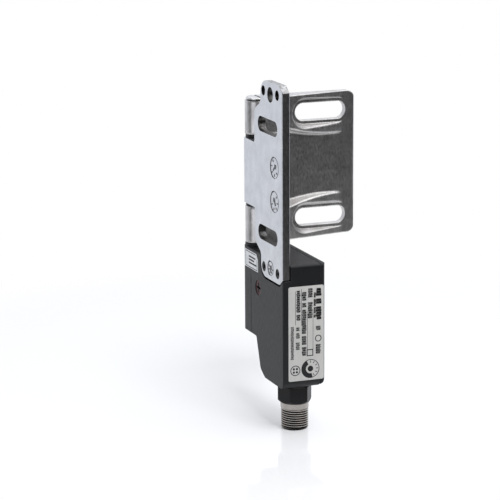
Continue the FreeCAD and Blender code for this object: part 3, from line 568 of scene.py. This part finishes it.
for name, material in finish_of.items():
    nodes[name].data.materials.clear()
    nodes[name].data.materials.append(material)


# The threaded sleeve

CONNECTOR_X, CONNECTOR_Y = 33.6, 3.7
THREAD_R, THREAD_PITCH, THREAD_DEPTH = 5.95, 1.0, 0.58
THREAD_RUN_IN, THREAD_RUN_OUT = 0.9, 0.7
# The ridge's cosine before it is clipped to 0 and 1: its middle and its swing.
RIDGE_MIDDLE, RIDGE_SWING = 0.45, 0.9
RING_R, RING_H, RING_CHAMFER, RING_FOOT = 6.15, 2.5, 0.1, 0.15
FLANGE_R, FLANGE_H, NECK_R = 6.8, 1.4, 5.3
BORE_R, SOCKET_R, SOCKET_DEPTH = 4.1, 4.75, 9.5
MOUTH_R, MOUTH_LIP = 5.35, 0.2
MOUTH_CHAMFER, MOUTH_CHAMFER_H = 0.35, 0.5
# The dark end of the thread: its height above the mouth and its fade.
DARK_END_H, DARK_END_FADE = 1.1, 0.25
SHARP_ANGLE = math.radians(30)


def thread_sleeve():
    """The plug's sleeve: a closed profile turned about its axis, whose outside carries a thread.

    The thread's radius falls from its crest by the depth times a ridge, which is a clipped cosine
    of the height over the pitch plus the share of a turn, and which fades out at both ends of the
    threaded length. How deep a point lies is kept on the mesh.
    """
    low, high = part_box("connector_sleeve")
    mouth_z, top_z = low[2] / MM, high[2] / MM
    ring_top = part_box("collar_nut")[0][2] / MM
    ring_low = ring_top - RING_H
    before = np.array([
        [BORE_R, top_z], [FLANGE_R, top_z], [FLANGE_R, top_z - FLANGE_H],
        [NECK_R, top_z - FLANGE_H], [NECK_R, ring_top], [RING_R - RING_CHAMFER, ring_top],
        [RING_R, ring_top - RING_CHAMFER], [RING_R, ring_low + RING_FOOT], [THREAD_R, ring_low],
    ])
    after = np.array([
        [MOUTH_R, mouth_z], [SOCKET_R + MOUTH_LIP, mouth_z], [SOCKET_R, mouth_z + MOUTH_LIP],
        [SOCKET_R, mouth_z + SOCKET_DEPTH], [BORE_R, mouth_z + SOCKET_DEPTH],
    ])
    turns, rows = 160, 200
    angle = np.linspace(2 * np.pi, 0, turns, endpoint=False)
    z = np.linspace(ring_low, mouth_z + MOUTH_CHAMFER, rows)[:, None]
    phase = z / THREAD_PITCH + angle / (2 * np.pi)
    ridge = np.clip(RIDGE_MIDDLE + RIDGE_SWING * np.cos(2 * np.pi * phase), 0, 1)
    run_in = np.clip((ring_low - z) / THREAD_RUN_IN, 0, 1)
    run_out = np.clip((z - mouth_z - MOUTH_LIP) / THREAD_RUN_OUT, 0, 1)
    fall = THREAD_DEPTH * ridge * (run_in * run_out)
    from_end = (z - mouth_z - MOUTH_CHAMFER) / MOUTH_CHAMFER_H
    chamfer = np.clip(1.0 - from_end, 0, 1) * MOUTH_CHAMFER
    plain = [np.broadcast_to(part[:, :1], (len(part), turns)) for part in (before, after)]
    radius = np.concatenate([plain[0], THREAD_R - np.maximum(fall, chamfer), plain[1]])
    height = np.concatenate([before[:, 1], z[:, 0], after[:, 1]])[:, None]
    dark_end = np.clip((mouth_z + DARK_END_H - z) / DARK_END_FADE, 0, 1)
    # The depth kept on the mesh drives painted shade in the grooves and the socket, and darkens the
    # end.
    shade = np.maximum(fall / THREAD_DEPTH, dark_end)
    depth = np.concatenate([np.zeros_like(plain[0]), shade, np.ones_like(plain[1])])
    points = on_hinge(CONNECTOR_X + radius * np.cos(angle),
                      CONNECTOR_Y + radius * np.sin(angle), height)
    piece = sheet_object("thread_sleeve", points, wrap_rows=True, wrap_columns=True)
    groove = piece.data.attributes.new("groove", "FLOAT", "POINT")
    groove.data.foreach_set("value", depth.astype(np.float32).ravel())
    piece.data.set_sharp_from_angle(angle=SHARP_ANGLE)
    return piece


finish_piece(thread_sleeve(), "frame", "nickel", plated_thread, "connector_sleeve")


# The contact springs

SPRING_WIRE, SPRING_TURNS, SPRING_PLAY = 0.44, 5.0, 0.03
# The share of the wire in each closed end turn.
END_TURN = 0.1


def coil_spring(name, node):
    """A coil spring along X, from its bridge to its chamber's end: round wire along a helix.

    The way along X stands still over the first and last
    tenth, which closes the end turns, and grows evenly between them.
    """
    low, high = (np.array(corner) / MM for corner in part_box(node))
    middle = (low + high) / 2
    half = SPRING_WIRE / 2
    steps, sides = 240, 10
    share = np.linspace(0, 1, steps)[:, None]
    turn = 2 * np.pi * SPRING_TURNS * share
    start, end = low[0] + half + SPRING_PLAY, high[0] - half - SPRING_PLAY
    along = start + (end - start) * np.clip((share - END_TURN) / (1 - 2 * END_TURN), 0, 1)
    section = np.linspace(2 * np.pi, 0, sides, endpoint=False)
    reach = (high[2] - low[2]) / 2 - half + half * np.cos(section)
    x = along + half * np.sin(section)
    y = middle[1] + reach * np.cos(turn)
    z = middle[2] + reach * np.sin(turn)
    points = np.stack([x, y, z], axis=-1) * MM
    spring = sheet_object(name, points, wrap_columns=True, cap_first=True, cap_last=True)
    finish_piece(spring, "carrier", "inner_steel", inner_steel, node)
    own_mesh(spring)


coil_spring("upper_contact_spring", "plunger_spring_a")
coil_spring("lower_contact_spring", "plunger_spring_b")


# The label on the housing's end: places on it are across (Y) and up (Z)

LABEL_FACE_X = 45.0
LABEL_LOW, LABEL_HIGH = (-3.6, -84.3), (12.6, -42.9)
LABEL_T, LABEL_SINK, LABEL_CORNER_R = 0.12, 0.05, 0.8
# How far the ink reaches into what carries it, and how far it stands out.
INK_SINK, INK_RISE = 0.02, 0.012
LABEL_INK = (LABEL_T - INK_SINK, LABEL_T + INK_RISE)

# Runs of stand-in letters: place across, top, bottom, height of a letter, weight of its strokes.
LABEL_RUNS = (
    (10.2, -44.2, -58.0, 2.5, 0.24),
    (8.4, -46.0, -57.2, 1.0, 0.22),
    (6.3, -44.0, -57.2, 2.2, 0.2),
    (3.5, -44.4, -73.6, 2.1, 0.2),
    (0.9, -44.6, -57.6, 1.9, 0.2),
    (10.0, -59.8, -63.6, 2.1, 0.2),
    (10.0, -68.8, -72.6, 2.3, 0.2),
    (0.6, -60.6, -72.0, 1.8, 0.17),
    (-1.9, -60.2, -74.4, 1.5, 0.15),
)
# A letter's pitch as a share of its height, the share of letters left out, and the half sizes and
# places of its strokes and its bar: up the letter in its height, along the run in its pitch.
LETTER_PITCH, LETTER_GAPS = 0.46, 0.1
STROKE_ASIDE, STROKE_HALVES = 0.24, (0.38, 0.44, 0.5)
BAR_LEVELS, BAR_HALF_HEIGHT, BAR_HALF_WIDTH = (-0.36, 0.0, 0.36), 0.13, 0.38
# Rules and the sides of a small frame: middle across, middle up, half width, half length.
LABEL_LINES = np.array([
    [7.6, -63.0, 0.09, 9.0], [5.0, -63.6, 0.09, 9.6],
    [2.3, -52.0, 0.09, 8.0], [-0.4, -52.2, 0.09, 7.4],
])
LABEL_FRAME = np.array([
    [4.9, -72.2, 0.2, 1.5], [7.5, -72.2, 0.2, 1.5],
    [6.2, -70.9, 1.1, 0.2], [6.2, -73.5, 1.1, 0.2],
])
# Round marks: a ring, a dial and a plug face. A band has a radius, a half width and, if it is open,
# a start and an end in degrees.
RING_AT, RING_BAND = (10.0, -66.2), (1.3, 0.2)
DIAL_AT = np.array([6.4, -79.3])
DIAL_RIM, DIAL_SWEEP, DIAL_HUB = (4.0, 0.15), (2.95, 0.9), (0.65, 0.63)
SWEEP_START, SWEEP_END = 115, 285
DIAL_TICKS, TICK_R = np.radians(np.arange(-60, 110, 30.0)), 3.1
TICK_HALF_LENGTH, TICK_HALF_WIDTH = 0.5, 0.16
PLUG_AT, PLUG_RIM = np.array([-0.5, -79.6]), (2.1, 0.18)
PLUG_PINS, PIN_BAND = np.radians([45, 135, 225, 315]), (0.26, 0.25)


def rounded_outline(half_w, half_h, radius, count=40):
    """Points round a rectangle with round corners: four quarter arcs about corner centres."""
    quarter = np.linspace(0, np.pi / 2, count // 4)
    angle = np.concatenate([quarter + k * np.pi / 2 for k in range(4)])
    sign_u = np.repeat([1, -1, -1, 1], count // 4)
    sign_v = np.repeat([1, 1, -1, -1], count // 4)
    u = sign_u * (half_w - radius) + radius * np.cos(angle)
    v = sign_v * (half_h - radius) + radius * np.sin(angle)
    return u, v


def label_plate():
    """A thin plate: a rounded rectangle's outline, drawn in a little at each level to its top."""
    mid = [(LABEL_LOW[k] + LABEL_HIGH[k]) / 2 for k in (0, 1)]
    half = [(LABEL_HIGH[k] - LABEL_LOW[k]) / 2 for k in (0, 1)]
    u, v = rounded_outline(half[0], half[1], LABEL_CORNER_R)
    inset = np.array([0.0, 0.0, 0.02, 0.06])[:, None]
    level = np.array([-LABEL_SINK, LABEL_T * 0.6, LABEL_T * 0.92, LABEL_T])[:, None]
    points = on_hinge(LABEL_FACE_X + level, mid[0] + u * (1 - inset / half[0]),
                      mid[1] + v * (1 - inset / half[1]))
    return sheet_object("type_label", points, wrap_columns=True, cap_first=True, cap_last=True)


def letters(random, y, top, bottom, height, weight):
    """A run of stand-in letters down the label, a pitch apart with some left out.

    Each is two upright strokes of a few lengths, as thick as the weight says, and a bar across
    them at a random level.
    """
    pitch = LETTER_PITCH * height
    z = np.arange(top - pitch / 2, bottom, -pitch)
    kept = z[random.random(len(z)) > LETTER_GAPS]
    count = len(kept)
    aside = STROKE_ASIDE * pitch
    stroke_z = np.concatenate([kept - aside, kept + aside, kept])
    bar_level = random.choice(BAR_LEVELS, count)
    stroke_y = y + height * np.concatenate([np.zeros(2 * count), bar_level])
    half_length = random.choice(STROKE_HALVES, 2 * count)
    half_height = height * np.append(half_length, np.full(count, BAR_HALF_HEIGHT))
    half_width = pitch * np.repeat([weight, BAR_HALF_WIDTH], [2 * count, count])
    middles = np.stack([stroke_y, stroke_z], -1)
    return bricks(middles, half_height, half_width, 0.0, *LABEL_INK)


def label_print():
    """Plain print: runs of stand-in letters, rules, a ring, a frame, a dial and a plug face."""
    random = np.random.default_rng(11)
    parts = [letters(random, *run) for run in LABEL_RUNS]
    parts.append(bricks(LABEL_LINES[:, :2], *LABEL_LINES[:, 2:].T, 0.0, *LABEL_INK))
    parts.append(band(RING_AT, *RING_BAND, *LABEL_INK))
    parts.append(bricks(LABEL_FRAME[:, :2], *LABEL_FRAME[:, 2:].T, 0.0, *LABEL_INK))
    tick_at = DIAL_AT + TICK_R * np.stack([np.cos(DIAL_TICKS), np.sin(DIAL_TICKS)], -1)
    parts.append(band(DIAL_AT, *DIAL_RIM, *LABEL_INK))
    parts.append(band(DIAL_AT, *DIAL_SWEEP, *LABEL_INK, SWEEP_START, SWEEP_END))
    parts.append(band(DIAL_AT, *DIAL_HUB, *LABEL_INK))
    parts.append(bricks(tick_at, TICK_HALF_LENGTH, TICK_HALF_WIDTH, DIAL_TICKS, *LABEL_INK))
    pin_at = PLUG_AT + np.stack([np.cos(PLUG_PINS), np.sin(PLUG_PINS)], -1)
    parts.append(band(PLUG_AT, *PLUG_RIM, *LABEL_INK))
    parts += [band(at, *PIN_BAND, *LABEL_INK, steps=16) for at in pin_at]
    flat, quads = joined(parts)
    points = on_hinge(LABEL_FACE_X + flat[:, 2], flat[:, 0], flat[:, 1])
    return mesh_object("label_print", points, quads, smooth=False)


finish_piece(label_plate(), "frame", "nickel", label_foil)
finish_piece(label_print(), "frame", "hex_plastic", label_ink)


# The sticker on the housing's side

HOUSING_R = 6.0
STICKER_START, STICKER_END = -4.6, 15.4
STICKER_LOW_Z, STICKER_HIGH_Z = -42.7, -34.7
STICKER_CUT, CUT_SLOPE = 2.2, 1.2
# The film's thickness, and how far its rim and its back lie inside the housing.
STICKER_T, RIM_SINK, BACK_SINK = 0.09, 0.04, 0.06
# Its printed frame: its way in from the sticker's edges, how far the side below the cut corner is
# set down, and the half widths of its lines and of the bars in it.
FRAME_INSET, FRAME_DROP, FRAME_HALF, BAR_HALF = 0.7, 0.9, 0.16, 0.36
BAR_PITCH = 1.4


def side_sticker():
    """A film on the housing's side that runs on round its back corner: a rectangle less a corner.

    Its long way is measured along the surface: ahead of the hinge axis it is flat, and behind it
    the film turns about the axis by its length over the corner's radius. Each section goes down
    the front and up the sunk back.
    """
    along = np.linspace(STICKER_START, STICKER_END, 64)[:, None]
    cut = STICKER_HIGH_Z - (along - STICKER_END + STICKER_CUT) * CUT_SLOPE
    top = np.minimum(STICKER_HIGH_Z, cut)
    z = STICKER_LOW_Z + np.linspace(1, 0, 24) * (top - STICKER_LOW_Z)
    from_ends = np.minimum(along - along[0], along[-1] - along)
    inner = np.minimum(from_ends, np.minimum(z - STICKER_LOW_Z, top - z)) > 1e-9
    front = np.where(inner, STICKER_T, -RIM_SINK)
    reach = HOUSING_R + np.concatenate([front, np.full(front.shape, -BACK_SINK)], axis=1)
    turn = np.minimum(along, 0) / HOUSING_R
    points = on_hinge(np.maximum(along, 0) + reach * np.sin(turn), -reach * np.cos(turn),
                      np.concatenate([z, z[:, ::-1]], axis=1))
    return sheet_object("side_sticker", points, wrap_columns=True, cap_first=True, cap_last=True)


def sticker_print():
    """A thin frame inside the sticker's flat part, and three short bars in it."""
    ink = (STICKER_T - INK_SINK, STICKER_T + INK_RISE)
    mid_z = (STICKER_LOW_Z + STICKER_HIGH_Z) / 2
    half_z = (STICKER_HIGH_Z - STICKER_LOW_Z) / 2 - FRAME_INSET
    side_at = np.array([[7.4, mid_z - half_z], [14.3, mid_z - FRAME_DROP],
                        [6.6, mid_z + half_z], [0.5, mid_z]])
    side_u = np.array([6.9, FRAME_HALF, 6.1, FRAME_HALF])
    side_v = np.array([FRAME_HALF, half_z - FRAME_DROP, FRAME_HALF, half_z])
    bar_at = np.array([[8.4, mid_z + BAR_PITCH], [7.6, mid_z], [9.0, mid_z - BAR_PITCH]])
    bar_u = np.array([4.0, 3.2, 4.6])
    flat, quads = joined([bricks(side_at, side_u, side_v, 0.0, *ink),
                          bricks(bar_at, bar_u, BAR_HALF, 0.0, *ink)])
    points = on_hinge(flat[:, 0], -HOUSING_R - flat[:, 2], flat[:, 1])
    return mesh_object("sticker_print", points, quads, smooth=False)


finish_piece(side_sticker(), "frame", "carrier_plastic", sticker_film)
finish_piece(sticker_print(), "frame", "hex_plastic", label_ink)


# Casting marks on the fixed leaf

CAST_FACE_Y = -6.0
# Each mark's middle along X and Z, the radius of its ring, and its pointer's turn in radians.
CAST_MARKS = ((35.4, 7.0, 3.7, 0.7), (35.4, -7.6, 3.7, 2.2), (30.6, -37.4, 2.4, 1.2))
MARK_TICKS = np.radians([80.0, 130.0, 180.0, 230.0, 280.0])
# Each form's half sizes in its plane, and the levels between which it stands on the face.
MARK_TICK, TICK_LEVELS = (0.5, 0.22), (-0.05, 0.14)
# The part ring is a dark arc of painted shadow on one side of each casting ring.
SHADOW_ARC_PAST_RING, SHADOW_ARC_HALF, SHADOW_ARC_LEVELS, SHADOW_ARC_ENDS = 0.9, 0.26, (-0.05, 0.13), (115, 245)
POINTER_HALF, POINTER_LEVELS = 0.4, (-0.05, 0.16)
WING, WING_LEVELS, WING_SWING, WING_REACH = (0.8, 0.34), (-0.05, 0.15), 2.4, 0.6


def casting_marks():
    """Raised ticks in each casting ring, a part ring of painted shadow round one side of it and a
    pointer across it.

    All are thin bars and bands on the leaf's mounting face, dark with painted shade, and the
    pointer has two wings.
    """
    parts = []
    for x, z, radius, turn in CAST_MARKS:
        centre = np.array([x, z])
        angle = turn + MARK_TICKS
        ticks = centre + (radius - MARK_TICK[0]) * np.stack([np.cos(angle), np.sin(angle)], -1)
        parts.append(bricks(ticks, *MARK_TICK, angle, *TICK_LEVELS))
        shadow_arc_r = radius + SHADOW_ARC_PAST_RING
        parts.append(band(centre, shadow_arc_r, SHADOW_ARC_HALF, *SHADOW_ARC_LEVELS, *SHADOW_ARC_ENDS, steps=24))
        parts.append(bricks(centre[None], radius * 0.5, POINTER_HALF, turn, *POINTER_LEVELS))
        tip = centre + radius * 0.45 * np.array([math.cos(turn), math.sin(turn)])
        swing = turn + np.array([-WING_SWING, WING_SWING])
        wings = tip + WING_REACH * np.stack([np.cos(swing), np.sin(swing)], -1)
        parts.append(bricks(wings, *WING, swing, *WING_LEVELS))
    flat, quads = joined(parts)
    points = on_hinge(flat[:, 0], CAST_FACE_Y - flat[:, 2], flat[:, 1])
    return mesh_object("casting_marks", points, quads, smooth=False)


finish_piece(casting_marks(), "frame", "cast_leaf", shaded_mark_metal)


# Table, light and camera, in metres

TABLE_MIDDLE = np.array([-0.085, 0.032])
TABLE_R, FADE_START, FADE_END = 0.235, 0.14, 0.225


def table_top():
    """A round pale table, mostly behind the part: rings drawn in towards a flat centre."""
    radius = TABLE_R * np.linspace(1.0, 0.1, 24)[:, None]
    angle = np.linspace(0, 2 * np.pi, 96, endpoint=False)
    x = TABLE_MIDDLE[0] + radius * np.cos(angle)
    y = TABLE_MIDDLE[1] + radius * np.sin(angle)
    points = np.stack([x, y, np.full(x.shape, FLOOR_Z)], axis=-1)
    return sheet_object("table_top", points, wrap_columns=True, cap_last=True)


def table_finish():
    """White glossy table that keeps the part's shadow and fades into the room towards its rim."""
    material, tree, shader = new_material("table_white", 0.0, 0.5)
    shader.inputs["Base Color"].default_value = (0.62, 0.627, 0.642, 1)
    shader.inputs["Roughness"].default_value = 0.05
    glow = add_node(tree, "ShaderNodeEmission", Strength=1.0)
    path = add_node(tree, "ShaderNodeLightPath")
    mirrored = add_node(tree, "ShaderNodeMath", operation="MAXIMUM")
    seen = add_node(tree, "ShaderNodeMath", operation="MAXIMUM")
    place = add_node(tree, "ShaderNodeTexCoord")
    from_middle = add_node(tree, "ShaderNodeVectorMath", operation="SUBTRACT")
    from_middle.inputs[1].default_value = (*TABLE_MIDDLE, FLOOR_Z)
    away = add_node(tree, "ShaderNodeVectorMath", operation="LENGTH")
    fade = smooth_step(tree, FADE_START, FADE_END, To_Min=0.2)
    share = add_node(tree, "ShaderNodeMath", operation="MULTIPLY")
    blend = add_node(tree, "ShaderNodeMixShader")
    link(tree, place.outputs["Object"], from_middle.inputs[0])
    link(tree, from_middle.outputs[0], away.inputs[0])
    link(tree, away.outputs["Value"], fade.inputs["Value"])
    link(tree, path.outputs["Is Glossy Ray"], mirrored.inputs[0])
    link(tree, path.outputs["Is Transmission Ray"], mirrored.inputs[1])
    link(tree, path.outputs["Is Camera Ray"], seen.inputs[0])
    link(tree, mirrored.outputs[0], seen.inputs[1])
    link(tree, seen.outputs[0], share.inputs[0])
    link(tree, fade.outputs[0], share.inputs[1])
    link(tree, share.outputs[0], blend.inputs[0])
    link(tree, shader.outputs[0], blend.inputs[1])
    link(tree, glow.outputs[0], blend.inputs[2])
    link(tree, blend.outputs[0], tree.nodes["Material Output"].inputs["Surface"])
    return material


table = table_top()
table.data.materials.append(table_finish())

# Directions in the room: behind the part, and towards a bright card beside it.
BEHIND, BESIDE = (-0.954, 0.30, 0.12), (0.50, -0.843, -0.2)
ROOM_TINT, WHITE = (0.965, 0.99, 1.045), (1, 1, 1)
DIM_SIDE, CARD_LIGHT = 0.06, 1.4


def studio_world():
    """A white room to the camera and through glass.

    What lights the part and what metal mirrors is white behind the part, dim on the camera's side
    and bright on a card beside the part, all with a slight tint.
    """
    world = bpy.data.worlds.new("studio")
    bpy.context.scene.world = world
    world.use_nodes = True
    tree = world.node_tree
    background = tree.nodes["Background"]
    place = add_node(tree, "ShaderNodeTexCoord")
    behind = add_node(tree, "ShaderNodeVectorMath", operation="DOT_PRODUCT")
    behind.inputs[1].default_value = BEHIND
    bright = smooth_step(tree, -0.5, 0.68, To_Min=DIM_SIDE)
    beside = add_node(tree, "ShaderNodeVectorMath", operation="DOT_PRODUCT")
    beside.inputs[1].default_value = BESIDE
    card = smooth_step(tree, 0.9, 0.97, To_Max=CARD_LIGHT)
    both = add_node(tree, "ShaderNodeMath", operation="MAXIMUM")
    path = add_node(tree, "ShaderNodeLightPath")
    seen = add_node(tree, "ShaderNodeMath", operation="MAXIMUM")
    level = add_node(tree, "ShaderNodeMix", data_type="FLOAT")
    level.inputs["B"].default_value = 1.0
    tint = colour_mix(tree, ROOM_TINT, WHITE)
    link(tree, place.outputs["Generated"], behind.inputs[0])
    link(tree, behind.outputs["Value"], bright.inputs["Value"])
    link(tree, place.outputs["Generated"], beside.inputs[0])
    link(tree, beside.outputs["Value"], card.inputs["Value"])
    link(tree, bright.outputs[0], both.inputs[0])
    link(tree, card.outputs[0], both.inputs[1])
    link(tree, path.outputs["Is Camera Ray"], seen.inputs[0])
    link(tree, path.outputs["Is Transmission Ray"], seen.inputs[1])
    link(tree, seen.outputs[0], level.inputs["Factor"])
    link(tree, both.outputs[0], level.inputs["A"])
    link(tree, level.outputs["Result"], background.inputs["Strength"])
    link(tree, seen.outputs[0], tint.inputs["Factor"])
    link(tree, tint.outputs["Result"], background.inputs["Color"])


studio_world()

LAMP_TARGET = np.array([-0.005, 0.015, -0.03])


def softbox(name, bearing, height, distance, size, power, glossy=True):
    """An area lamp on a bearing and at a height angle from the part's middle, facing it."""
    lamp = bpy.data.lights.new(name, "AREA")
    lamp.shape = "RECTANGLE"
    lamp.size, lamp.size_y = size
    lamp.energy = power
    piece = bpy.data.objects.new(name, lamp)
    bpy.context.scene.collection.objects.link(piece)
    turn, rise = math.radians(bearing), math.radians(height)
    level = math.cos(rise)
    away = np.array([math.cos(turn) * level, math.sin(turn) * level, math.sin(rise)])
    piece.location = LAMP_TARGET + away * distance
    piece.rotation_euler = (math.pi / 2 - rise, 0, turn + math.pi / 2)
    piece.visible_camera = False
    piece.visible_glossy = glossy


softbox("top_softbox", 160, 70, 1.0, (1.2, 1.2), 5.5)
softbox("front_softbox", 32, 50, 0.9, (0.95, 0.95), 5.2)
softbox("front_fill", 4, 56, 1.0, (0.4, 0.4), 8.8, glossy=False)

# The photograph's line of sight in degrees, the point it goes through (along the picture's level
# line and up), the camera's way from that point, and its lens and sensor in mm.
VIEW_BEARING, VIEW_HEIGHT, VIEW_LEAN = 69.40, 12.56, -0.326
AIM_ALONG, AIM_Z = -0.00767, -0.02999
VIEW_DISTANCE = 1.0
LENS, SENSOR = 168.35, 36.0


def add_camera():
    """A camera on the photograph's line of sight: bearing, height and lean about a point."""
    bearing, height, lean = map(math.radians, (VIEW_BEARING, VIEW_HEIGHT, VIEW_LEAN))
    level = Vector((math.cos(bearing), math.sin(bearing), 0))
    away = Vector((level.y * math.cos(height), -level.x * math.cos(height), math.sin(height)))
    right = level * math.cos(lean) + away.cross(level) * math.sin(lean)
    up = away.cross(right)
    lens = bpy.data.cameras.new("camera")
    lens.sensor_width = SENSOR
    lens.lens = LENS
    lens.clip_start = 0.01
    eye = bpy.data.objects.new("camera", lens)
    bpy.context.scene.collection.objects.link(eye)
    eye.location = level * AIM_ALONG + Vector((0, 0, AIM_Z)) + away * VIEW_DISTANCE
    eye.rotation_euler = Matrix((right, up, away)).transposed().to_euler()
    bpy.context.scene.camera = eye


add_camera()
bpy.context.scene.view_settings.view_transform = "Standard"
